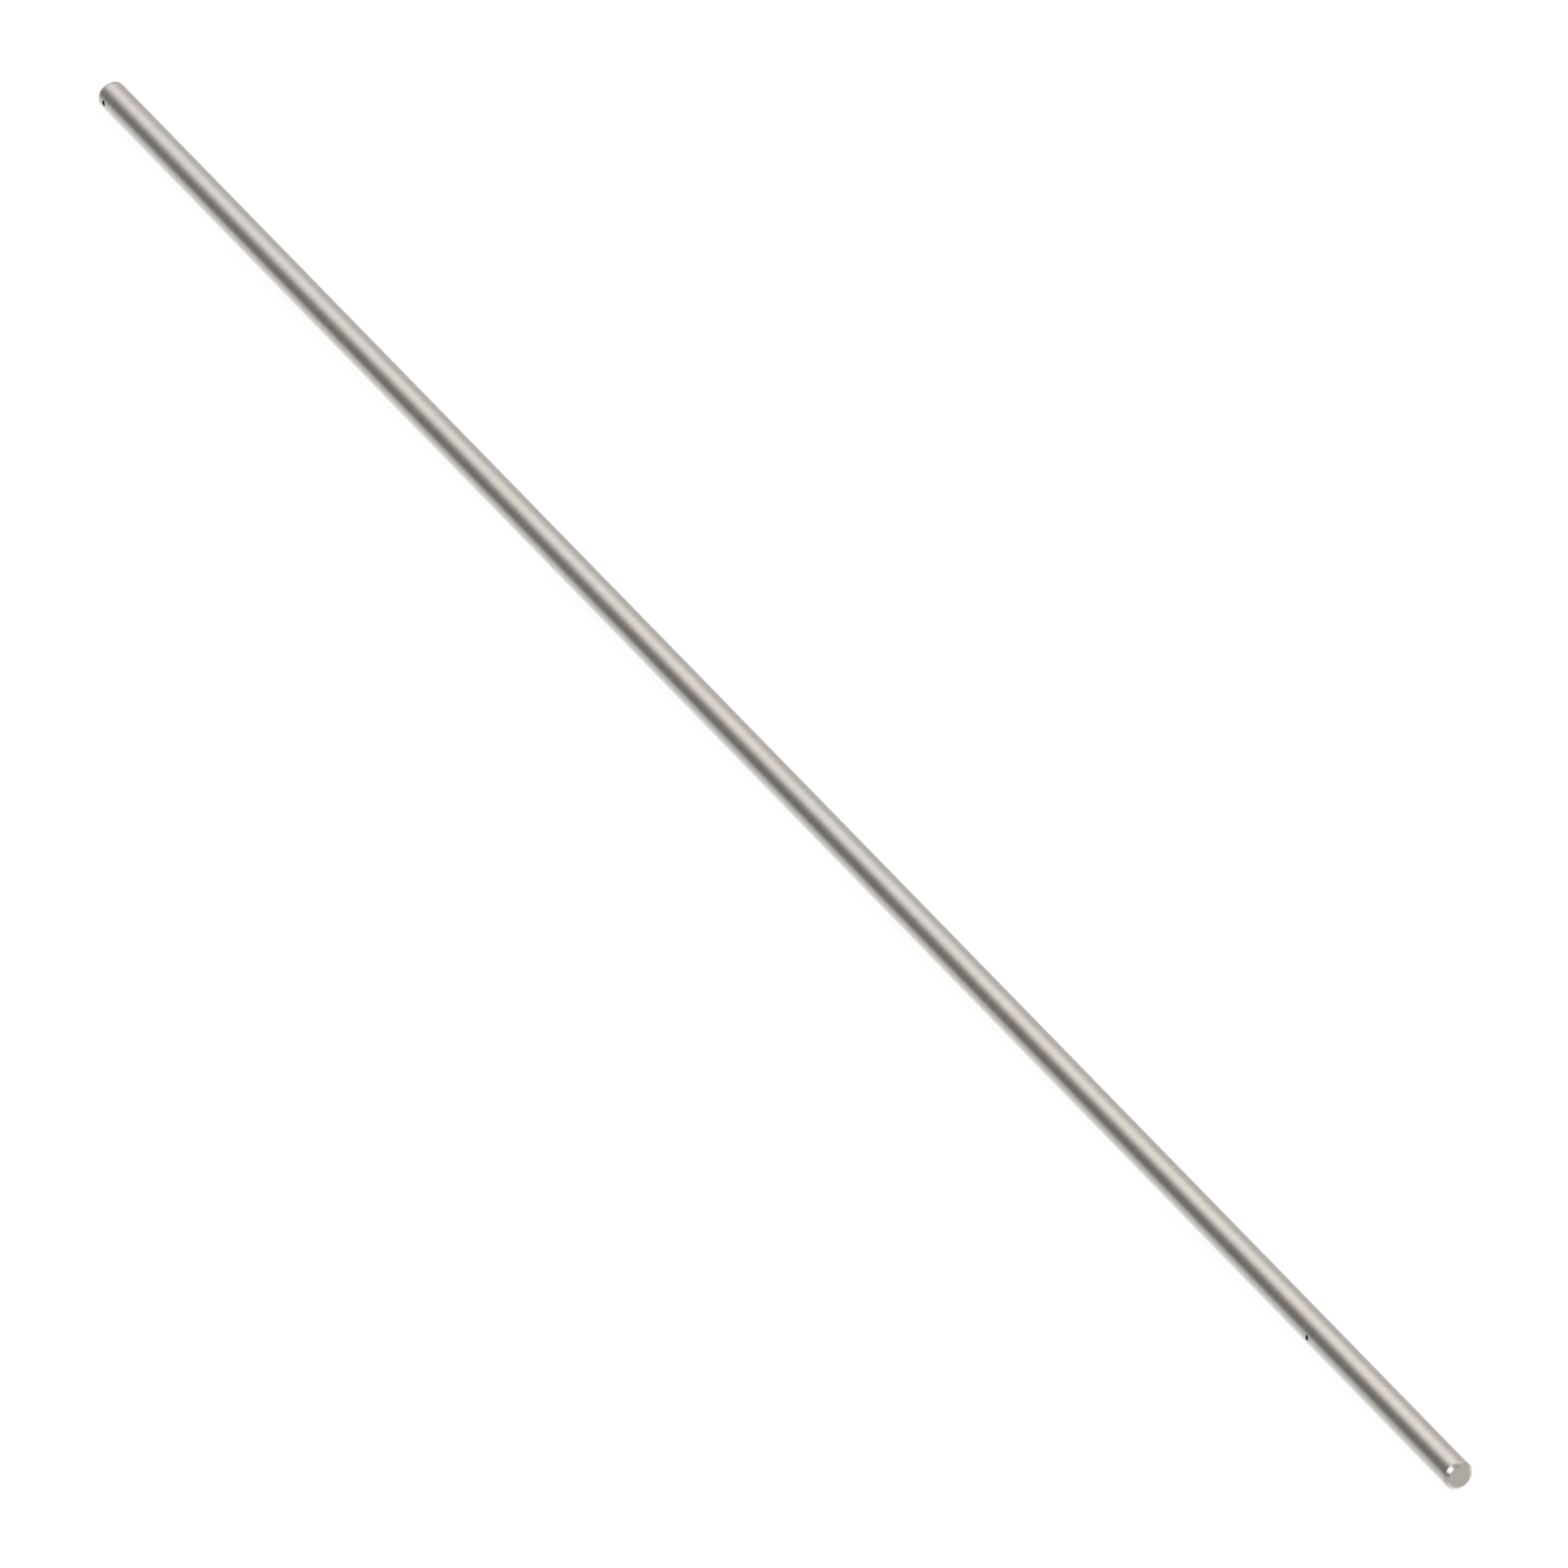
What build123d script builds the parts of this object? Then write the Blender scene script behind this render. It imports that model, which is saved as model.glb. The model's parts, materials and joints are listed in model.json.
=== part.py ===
"""Optical post: a slender round bar, turned and ground from one piece of stainless steel.

Both ends are faced square and chamfered. Two pin holes are cross-drilled right through the bar,
one close to the end at the origin and one further in from the far end.

Millimetres. The bar lies along +X with the origin at the centre of the end face beside the close
hole. Both holes run along Y, and +Z is up.
"""

import os
from math import sqrt

from build123d import *

# Bar
bar_diameter = 12.7
bar_length = 1250.0

# Chamfer at each end, 45 degrees, measured along the bar
end_chamfer = 1.5

# Cross-drilled pin holes, each set back from its own end of the bar
hole_diameter = 2.4
origin_end_setback = 6.0
far_end_setback = 124.0

# Least width of the 45 degree edge break round each hole's mouth
mouth_break = 0.15

# How far cutting tools run past the surface that they cut
overrun = 1.0

# Worked out from the sizes above
bar_radius = bar_diameter / 2
face_radius = bar_radius - end_chamfer
hole_radius = hole_diameter / 2
# A hole's mouth on the round bar is a saddle: this is how far its low points are from the bar's axis
mouth_low = sqrt(bar_radius**2 - hole_radius**2)
hole_places = (origin_end_setback, bar_length - far_end_setback)


def turned_bar():
    """The bar with its two chamfers, as half a section turned about its own axis."""
    section = Polyline(
        (0, 0),
        (0, face_radius),
        (end_chamfer, bar_radius),
        (bar_length - end_chamfer, bar_radius),
        (bar_length, face_radius),
        (bar_length, 0),
        close=True,
    )
    return revolve(make_face(section), Axis.X)


def drilled_away():
    """What drilling and deburring one hole takes out: a straight drill that flares at both mouths.

    The flare starts low enough to break the edge all the way round the saddle."""
    wall_half = mouth_low - mouth_break
    reach = bar_radius + overrun
    flare_radius = hole_radius + reach - wall_half
    section = Polyline(
        (0, -reach),
        (flare_radius, -reach),
        (hole_radius, -wall_half),
        (hole_radius, wall_half),
        (flare_radius, reach),
        (0, reach),
        close=True,
    )
    return revolve(make_face(section), Axis.Y)


def post():
    """The finished bar, drilled at each of its hole places."""
    drill = drilled_away()
    return turned_bar() - [Pos(place, 0, 0) * drill for place in hole_places]


os.makedirs("parts", exist_ok=True)
export_step(post(), "parts/post.step")
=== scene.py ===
"""Looks of the optical post: a fine mesh of the ground bar with its machined finishes, in a pale studio.

Metres, in the CAD frame: the bar lies along +X, its cross holes run along Y, and +Z is up.
"""

import json
from math import asin, atan2, cos, pi, radians, sin, sqrt, tan

import bmesh
import bpy
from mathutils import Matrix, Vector


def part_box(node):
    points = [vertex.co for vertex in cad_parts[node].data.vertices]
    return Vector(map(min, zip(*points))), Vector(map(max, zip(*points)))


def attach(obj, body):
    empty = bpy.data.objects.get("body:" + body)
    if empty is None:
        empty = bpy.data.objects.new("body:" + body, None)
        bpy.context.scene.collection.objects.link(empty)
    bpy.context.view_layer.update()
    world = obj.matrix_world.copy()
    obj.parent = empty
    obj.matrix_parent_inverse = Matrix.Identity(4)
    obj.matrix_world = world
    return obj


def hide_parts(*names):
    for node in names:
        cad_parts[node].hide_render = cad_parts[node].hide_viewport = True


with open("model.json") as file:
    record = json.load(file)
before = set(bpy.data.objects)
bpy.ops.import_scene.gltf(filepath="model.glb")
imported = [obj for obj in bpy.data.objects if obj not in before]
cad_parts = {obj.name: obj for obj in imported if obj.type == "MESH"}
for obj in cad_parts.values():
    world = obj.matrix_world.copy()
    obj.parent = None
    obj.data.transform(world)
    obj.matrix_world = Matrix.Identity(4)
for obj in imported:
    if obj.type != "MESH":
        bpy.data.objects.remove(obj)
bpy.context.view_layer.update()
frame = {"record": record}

MM = 0.001

# Sizes of the bar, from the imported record
mounts = {mount["name"]: mount for mount in frame["record"]["mounts"]}
bar_start, bar_end = (corner.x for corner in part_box("post"))
bar_length = bar_end - bar_start
bar_radius = mounts["shank"]["dims"]["r_mm"] * MM
shank_length = mounts["shank"]["dims"]["length_mm"] * MM
end_chamfer = (bar_length - shank_length) / 2
face_radius = bar_radius - end_chamfer

# Sizes of the cross holes, which are alike
hole_mounts = [mounts["end_cross_hole"], mounts["inner_cross_hole"]]
hole_places = [mount["pos_m"][0] for mount in hole_mounts]
hole_radius = hole_mounts[0]["dims"]["r_mm"] * MM
wall_half = hole_mounts[0]["dims"]["length_mm"] * MM / 2

# How finely the bar is meshed, and how round its edges are
round_steps = 192
ring_spacing = 25 * MM
face_ring_shares = (0.3, 0.6, 0.85)
edge_radius = 0.12 * MM
edge_steps = 3
smooth_angle = radians(25)

# How finely the holes are meshed: each mouth lies in a square, some steps round the bar to each side
mouth_reach = 12
mouth_rings = 6
mouth_tries = 20
bore_rings = 8
arc_step = 2 * pi * bar_radius / round_steps
mouth_half = mouth_reach * arc_step

# Sheet that the finishes can be baked on: rows of shank, then a row of ends and bores, drawn larger
MAP_NAME = "OFBake"
shank_rows = 5
row_gap = 1 * MM
detail_scale = 5.3
row_length = bar_length / shank_rows
row_height = 2 * pi * bar_radius + row_gap
sheet_size = row_length + ring_spacing + row_gap
detail_places = [bar_start, bar_end, *hole_places]
detail_row = shank_rows * row_height + detail_scale * bar_radius
detail_column = sheet_size / len(detail_places)

# Finishes, in the order of the bar's material slots
GROUND, TURNED, DRILLED = range(3)

# Ground shank: fine lines round the bar, a slight ripple, and streaks of tone
ground_colours = ((0.578, 0.543, 0.503), (0.622, 0.584, 0.542))
ground_roughness = (0.26, 0.34)
line_pitch = 0.4 * MM
line_run = 12 * MM
line_depth = 0.006 * MM
line_detail = 4
ripple_pitch = 1.5 * MM
ripple_run = 6 * MM
ripple_depth = 0.02 * MM
ripple_detail = 2
streak_pitch = 3 * MM
streak_run = 40 * MM
streak_detail = 5

# Turned ends and hole edges: rings left by the tool
turned_colours = ((0.625, 0.573, 0.522), (0.666, 0.611, 0.557))
turned_roughness = (0.26, 0.34)
ring_pitch = 0.22 * MM
ring_depth = 0.0014 * MM

# Drilled walls: colours far darker than the steel, which paint the shade inside the holes, with marks
# across the drill's way
drilled_colours_painted_shade = ((0.10, 0.095, 0.09), (0.22, 0.21, 0.20))
drilled_roughness = (0.45, 0.60)
feed_pitch = 0.15 * MM
feed_depth = 0.003 * MM

# Tool marks and patches of tone, on turned and drilled faces
mark_waviness = 1
mark_detail = 2
patch_size = 5 * MM
patch_detail = 3

# Part of a pattern's range that is spread over a finish's own range
pattern_low_share = 0.3
pattern_high_share = 0.7

# Blender's wave texture repeats after this length at a scale of 1
WAVE_PERIOD = pi / 10

# Socket numbers of Blender's mix node when it mixes colours
MIX_SHARE, MIX_FIRST, MIX_SECOND = 0, 6, 7
MIX_RESULT = 2

# The photograph's line of sight, with no roll, the place along the bar at its centre, and its width there
view_azimuth = radians(63.62)
view_elevation = radians(30.57)
aim_share = 0.5103
frame_width = 0.6452
lens_mm = 1200.0
sensor_mm = 36.0
clip_factor = 3

# Studio floor, partly lit from within
floor_half = 45.0
floor_shade = 0.07
floor_glow = 0.95

# Studio dome: the way each part faces, where along that it starts and is full, and its light
dome_base = (0.19, 0.19, 0.19)
overhead = ((-0.153, 0.051, 0.987), 0.513, 1.2, (1.9, 1.9, 1.9))
back_wall = ((-0.567, 0.824, 0), -0.044, 0.2, (0.468, 0.468, 0.468))
table = ((0, 0, -1), 0.064, 0.336, (0.442, 0.465, 0.474))
table_middle = ((0, -0.3, -0.954), 0.86, 1, (0.4, 0.4, 0.4))

# Slightly cool key light, a disc close to the near end, which glints on the chamfer there
key_direction = (0.631, -0.600, 0.491)
key_distance = 0.3
key_size = 0.218
key_power = 0.235
key_colour = (0.89, 0.95, 1)


class Shell:
    """A mesh in the making: places of its points, and faces with the finish of each."""

    def __init__(self):
        self.places, self.faces, self.finishes = [], [], []

    def point(self, place):
        self.places.append(place)
        return len(self.places) - 1

    def loop(self, places):
        return [self.point(place) for place in places]

    def face(self, corners, finish):
        self.faces.append(corners)
        self.finishes.append(finish)

    def strip(self, loop, next_loop, finish, skipped=()):
        """Four-sided faces between two closed loops with as many points."""
        for here in range(len(loop)):
            if here not in skipped:
                beside = (here + 1) % len(loop)
                self.face((loop[here], loop[beside], next_loop[beside], next_loop[here]), finish)

    def fan(self, loop, centre, finish):
        """Three-sided faces from a closed loop to a point in its middle."""
        for here in range(len(loop)):
            self.face((loop[here], loop[(here + 1) % len(loop)], centre), finish)

    def piece(self, name):
        """The finished object, with its faces turned outwards, sharp edges marked and no spare points."""
        mesh = bpy.data.meshes.new(name)
        mesh.from_pydata(self.places, [], self.faces)
        mesh.polygons.foreach_set("material_index", self.finishes)
        shape = bmesh.new()
        shape.from_mesh(mesh)
        spare = [point for point in shape.verts if not point.link_faces]
        bmesh.ops.delete(shape, geom=spare, context="VERTS")
        bmesh.ops.recalc_face_normals(shape, faces=shape.faces)
        shape.to_mesh(mesh)
        shape.free()
        mesh.shade_smooth()
        mesh.set_sharp_from_angle(angle=smooth_angle)
        made = bpy.data.objects.new(name, mesh)
        bpy.context.scene.collection.objects.link(made)
        flat_faces_first = made.modifiers.new("flat_faces_first", "WEIGHTED_NORMAL")
        flat_faces_first.keep_sharp = True
        return made


def on_bar(x, angle, radius=bar_radius):
    """A point at that distance from the bar's axis. Angle 0 is towards +Y and a quarter turn is up."""
    return (x, radius * cos(angle), radius * sin(angle))


def round_loop(shell, x, radius):
    """A ring of points about the bar's axis."""
    return shell.loop(on_bar(x, 2 * pi * step / round_steps, radius) for step in range(round_steps))


def spread(start, end, spacing):
    """Even places from start to end, about that far apart."""
    count = max(1, round((end - start) / spacing))
    return [start + (end - start) * step / count for step in range(count + 1)]


def rounded_corner(before, corner, after):
    """Points of the small arc that rounds a corner of an outline."""
    corner = Vector(corner)
    back = (Vector(before) - corner).normalized()
    on = (Vector(after) - corner).normalized()
    half = back.angle(on) / 2
    centre = corner + (back + on).normalized() * (edge_radius / sin(half))
    first = (corner + back * (edge_radius / tan(half)) - centre).normalized()
    last = (corner + on * (edge_radius / tan(half)) - centre).normalized()
    for step in range(edge_steps + 1):
        yield centre + first.slerp(last, step / edge_steps) * edge_radius


def end_outline(end_x, inwards):
    """(place, radius) of the rings of one end, from its face's middle to the start of its shank."""
    middle, face_edge = (end_x, 0), (end_x, face_radius)
    shank_edge = (end_x + inwards * end_chamfer, bar_radius)
    shank_on = (end_x + inwards * shank_length / 2, bar_radius)
    outline = [(end_x, face_radius * share) for share in face_ring_shares]
    outline += rounded_corner(middle, face_edge, shank_edge)
    outline += rounded_corner(face_edge, shank_edge, shank_on)
    return [tuple(place) for place in outline]


def shank_places(start, end):
    """Places of the rings along the shank: close together past each hole, far apart between them."""
    places = []
    for middle in hole_places:
        places += spread(start, middle - mouth_half, ring_spacing)[:-1]
        places += spread(middle - mouth_half, middle + mouth_half, arc_step)[:-1]
        start = middle + mouth_half
    return places + spread(start, end, ring_spacing)


def mouth_steps(x):
    """Steps round the bar whose faces, from the ring at x to the next, make way for a hole's mouths."""
    for middle in hole_places:
        if -mouth_half - arc_step / 2 < x - middle < mouth_half - arc_step / 2:
            steps = range(-mouth_reach, mouth_reach)
            return {(step + turn) % round_steps for step in steps for turn in (0, round_steps // 2)}
    return set()


def square_walk(reach):
    """Steps round a square of that half-width, from the middle of its +X side, back to where it began."""
    side = range(-reach, reach)
    walk = [(reach, step) for step in range(reach)]
    walk += [(-step, reach) for step in side]
    walk += [(-reach, -step) for step in side]
    walk += [(step, -reach) for step in side]
    walk += [(reach, step) for step in range(-reach, 0)]
    return walk


def mouth_edge(angle):
    """Where a mouth's flare meets the round of the bar: (along the bar, round the bar) from its middle.

    The flare is as wide as it is deep, so each try brings the radius closer to the meeting point."""
    radius = hole_radius
    for _ in range(mouth_tries):
        height = sqrt(bar_radius**2 - (radius * sin(angle)) ** 2)
        radius = hole_radius + height - wall_half
    return radius * cos(angle), bar_radius * asin(radius * sin(angle) / bar_radius)


def cut_mouth(shell, rings, middle, side):
    """Joins the bar's rings, given by their places, to one mouth of the hole at that middle.

    Returns the loop where the hole's straight wall starts."""
    facing, facing_step = (0, 0) if side > 0 else (pi, round_steps // 2)
    walk = square_walk(mouth_reach)
    angles = [atan2(step, x) for x, step in walk]
    edge = [mouth_edge(angle) for angle in angles]
    places = sorted(rings)
    middle_ring = min(range(len(places)), key=lambda ring: abs(places[ring] - middle))
    outer = [rings[places[middle_ring + x]][(facing_step + step) % round_steps] for x, step in walk]
    for ring in range(1, mouth_rings + 1):
        share = ring / mouth_rings
        inner = []
        for (x, step), (edge_along, edge_round) in zip(walk, edge):
            along = x * arc_step * (1 - share) + edge_along * share
            round_bar = step * arc_step * (1 - share) + edge_round * share
            inner.append(shell.point(on_bar(middle + along, facing + round_bar / bar_radius)))
        shell.strip(outer, inner, GROUND)
        outer = inner
    wall = []
    for angle in angles:
        across, up = hole_radius * cos(angle), side * hole_radius * sin(angle)
        wall.append(shell.point((middle + across, side * wall_half, up)))
    shell.strip(outer, wall, TURNED)
    return wall


def bore(shell, front, back):
    """The straight wall of a hole, between the loops at its two mouths, which run opposite ways."""
    outer = front
    for ring in range(1, bore_rings):
        y = wall_half * (1 - 2 * ring / bore_rings)
        inner = shell.loop((shell.places[point][0], y, shell.places[point][2]) for point in front)
        shell.strip(outer, inner, DRILLED)
        outer = inner
    shell.strip(outer, [back[-step] for step in range(len(back))], DRILLED)


def post_piece():
    """The bar: faced and chamfered ends, the ground shank and two drilled holes, as one closed mesh."""
    shell = Shell()
    start_end = end_outline(bar_start, 1)
    far_end = end_outline(bar_end, -1)
    places = shank_places(start_end.pop()[0], far_end.pop()[0])
    shank = {x: round_loop(shell, x, bar_radius) for x in places}
    shank_loops = list(shank.values())
    for (x, loop), next_loop in zip(shank.items(), shank_loops[1:]):
        shell.strip(loop, next_loop, GROUND, mouth_steps(x))
    for outline, shank_loop in ((start_end, shank_loops[0]), (far_end, shank_loops[-1])):
        loops = [round_loop(shell, x, radius) for x, radius in outline] + [shank_loop]
        for loop, next_loop in zip(loops, loops[1:]):
            shell.strip(loop, next_loop, TURNED)
        shell.fan(loops[0], shell.point((outline[0][0], 0, 0)), TURNED)
    for middle in hole_places:
        front, back = (cut_mouth(shell, shank, middle, side) for side in (1, -1))
        bore(shell, front, back)
    return shell.piece("post_body")


def unrolled(across, up, middle_across, middle_up):
    """Angle from the top of a circle, on the same side of the seam at its bottom as a face's middle is."""
    angle = atan2(across, up)
    turns = round((atan2(middle_across, middle_up) - angle) / (2 * pi))
    return angle + 2 * pi * turns


def sheet_spot(finish, middle, place):
    """Where a corner of a face lies on the sheet. The face's finish and middle say which part it is in."""
    if finish == GROUND:
        row = int((middle.x - bar_start) / row_length)
        along = place.x - bar_start - row * row_length + (sheet_size - row_length) / 2
        turn = unrolled(place.y, place.z, middle.y, middle.z)
        return along, row * row_height + row_height / 2 + turn * bar_radius
    column = min(range(len(detail_places)), key=lambda number: abs(detail_places[number] - middle.x))
    x = detail_places[column]
    right, up = place.y, place.z
    if x in hole_places:
        right = unrolled(place.x - x, place.z, middle.x - x, middle.z) * hole_radius
        up = place.y
    column_middle = column * detail_column + detail_column / 2
    return column_middle + right * detail_scale, detail_row + up * detail_scale


def lay_on_sheet(mesh):
    """The map that the finishes can be baked on."""
    spots = mesh.uv_layers.new(name=MAP_NAME).uv
    for face in mesh.polygons:
        for corner in face.loop_indices:
            place = mesh.vertices[mesh.loops[corner].vertex_index].co
            spot = sheet_spot(face.material_index, face.center, place)
            spots[corner].vector = [length / sheet_size for length in spot]


def add_node(tree, kind, inputs=None, **settings):
    """A node of that kind. Inputs are values, or the outputs that feed them, by socket name or number."""
    made = tree.nodes.new(kind)
    for name, value in settings.items():
        setattr(made, name, value)
    for key, value in (inputs or {}).items():
        if isinstance(value, bpy.types.NodeSocket):
            tree.links.new(value, made.inputs[key])
        else:
            made.inputs[key].default_value = value
    return made


def vector_math(tree, operation, inputs):
    """A node that works out that operation."""
    return add_node(tree, "ShaderNodeVectorMath", inputs, operation=operation)


def own_place(tree):
    """Where on the bar a pattern is drawn, in metres."""
    return add_node(tree, "ShaderNodeTexCoord").outputs["Object"]


def noise(tree, pitch, run, detail):
    """Noise whose grains have that pitch along the bar and run round it."""
    scale = (1 / pitch, 1 / run, 1 / run)
    place = add_node(tree, "ShaderNodeMapping", {"Vector": own_place(tree), "Scale": scale})
    inputs = {"Vector": place.outputs[0], "Scale": 1, "Detail": detail}
    return add_node(tree, "ShaderNodeTexNoise", inputs).outputs[0]


def tool_marks(tree, pitch, **shape):
    """Slightly uneven ridges that far apart."""
    inputs = {"Vector": own_place(tree), "Scale": WAVE_PERIOD / pitch}
    inputs |= {"Distortion": mark_waviness, "Detail": mark_detail}
    return add_node(tree, "ShaderNodeTexWave", inputs, **shape).outputs["Fac"]


def ramp(tree, value, low, high, start=pattern_low_share, end=pattern_high_share):
    """A number that goes from low to high as the value goes from start to end."""
    inputs = {"Value": value, "From Min": start, "From Max": end, "To Min": low, "To Max": high}
    return add_node(tree, "ShaderNodeMapRange", inputs, interpolation_type="SMOOTHSTEP").outputs[0]


def bump(tree, height, depth, under=None):
    """Ridges of that depth, on top of the relief under them."""
    inputs = {"Height": height, "Distance": depth, "Strength": 1}
    if under:
        inputs["Normal"] = under
    return add_node(tree, "ShaderNodeBump", inputs).outputs[0]


def ground_steel(tree):
    """Centreless-ground stainless: tone, roughness and relief."""
    lines = noise(tree, line_pitch, line_run, line_detail)
    ripple = noise(tree, ripple_pitch, ripple_run, ripple_detail)
    streaks = noise(tree, streak_pitch, streak_run, streak_detail)
    relief = bump(tree, ripple, ripple_depth, bump(tree, lines, line_depth))
    return streaks, lines, relief


def turned_steel(tree):
    """Faced ends, chamfers and hole edges: rings round the bar's axis."""
    rings = tool_marks(tree, ring_pitch, wave_type="RINGS", rings_direction="X")
    patches = noise(tree, patch_size, patch_size, patch_detail)
    return patches, patches, bump(tree, rings, ring_depth)


def drilled_steel(tree):
    """Walls of the holes: marks across the drill's way."""
    marks = tool_marks(tree, feed_pitch, wave_type="BANDS", bands_direction="Y")
    patches = noise(tree, patch_size, patch_size, patch_detail)
    return patches, marks, bump(tree, marks, feed_depth)


def metal(finish, colours, roughness):
    """The material of a finish, which gives its tone pattern, roughness pattern and relief."""
    material = bpy.data.materials.new(finish.__name__)
    material.use_nodes = True
    tree = material.node_tree
    shader = tree.nodes["Principled BSDF"]
    tone_pattern, roughness_pattern, relief = finish(tree)
    dull, bright = ((*colour, 1) for colour in colours)
    tones = {MIX_SHARE: ramp(tree, tone_pattern, 0, 1), MIX_FIRST: dull, MIX_SECOND: bright}
    tone = add_node(tree, "ShaderNodeMix", tones, data_type="RGBA").outputs[MIX_RESULT]
    shader.inputs["Metallic"].default_value = 1
    tree.links.new(tone, shader.inputs["Base Color"])
    tree.links.new(ramp(tree, roughness_pattern, *roughness), shader.inputs["Roughness"])
    tree.links.new(relief, shader.inputs["Normal"])
    return material


def studio_floor():
    """A pale floor under the bar, partly lit from within. The bar mirrors the dome, not the floor."""
    mesh = bpy.data.meshes.new("floor")
    corners = ((-1, -1), (1, -1), (1, 1), (-1, 1))
    places = [(x * floor_half, y * floor_half, -bar_radius) for x, y in corners]
    mesh.from_pydata(places, [], [range(len(places))])
    floor = bpy.data.objects.new("floor", mesh)
    bpy.context.scene.collection.objects.link(floor)
    material = bpy.data.materials.new("floor_white")
    material.use_nodes = True
    shader = material.node_tree.nodes["Principled BSDF"]
    shader.inputs["Base Color"].default_value = (floor_shade, floor_shade, floor_shade, 1)
    shader.inputs["Roughness"].default_value = 1
    shader.inputs["Specular IOR Level"].default_value = 0
    shader.inputs["Emission Color"].default_value = (1, 1, 1, 1)
    shader.inputs["Emission Strength"].default_value = floor_glow
    mesh.materials.append(material)
    floor.visible_glossy = False


def studio_dome():
    """Soft light from all round: bright overhead, darker low in front, pale behind and below."""
    world = bpy.data.worlds.new("studio")
    bpy.context.scene.world = world
    world.use_nodes = True
    tree = world.node_tree
    way = add_node(tree, "ShaderNodeTexCoord").outputs["Generated"]
    total = dome_base
    for direction, start, full, light in (overhead, back_wall, table, table_middle):
        facing = vector_math(tree, "DOT_PRODUCT", {0: way, 1: direction}).outputs["Value"]
        share = ramp(tree, facing, 0, 1, start, full)
        part = vector_math(tree, "SCALE", {0: light, "Scale": share}).outputs[0]
        total = vector_math(tree, "ADD", {0: total, 1: part}).outputs[0]
    tree.links.new(total, tree.nodes["Background"].inputs["Color"])


def key_light():
    """A soft lamp close to the near end. It lights little of the shank, so the bar's back stays grey."""
    lamp = bpy.data.lights.new("key", "AREA")
    lamp.shape = "DISK"
    lamp.size = key_size
    lamp.energy = key_power
    lamp.color = key_colour
    key = bpy.data.objects.new("key", lamp)
    key.location = Vector((bar_end, 0, 0)) + Vector(key_direction) * key_distance
    key.rotation_euler = Vector(key_direction).to_track_quat("Z", "Y").to_euler()
    key.visible_camera = False
    bpy.context.scene.collection.objects.link(key)


def photo_camera():
    """A long lens on the photograph's line of sight."""
    lens = bpy.data.cameras.new("photo_camera")
    lens.lens, lens.sensor_width = lens_mm, sensor_mm
    distance = frame_width * lens_mm / sensor_mm
    lens.clip_end = clip_factor * distance
    level = cos(view_elevation)
    back = Vector((sin(view_azimuth) * level, -cos(view_azimuth) * level, sin(view_elevation)))
    camera = bpy.data.objects.new("photo_camera", lens)
    camera.location = Vector((bar_start + aim_share * bar_length, 0, 0)) + back * distance
    camera.rotation_euler = back.to_track_quat("Z", "Y").to_euler()
    bpy.context.scene.collection.objects.link(camera)
    bpy.context.scene.camera = camera


post = post_piece()
lay_on_sheet(post.data)
post.data.materials.append(metal(ground_steel, ground_colours, ground_roughness))
post.data.materials.append(metal(turned_steel, turned_colours, turned_roughness))
# The drilled walls' dark colours are painted shade inside the holes
post.data.materials.append(metal(drilled_steel, drilled_colours_painted_shade, drilled_roughness))
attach(post, "root")
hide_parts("post")

studio_floor()
studio_dome()
key_light()
photo_camera()
bpy.context.scene.view_settings.view_transform = "Standard"
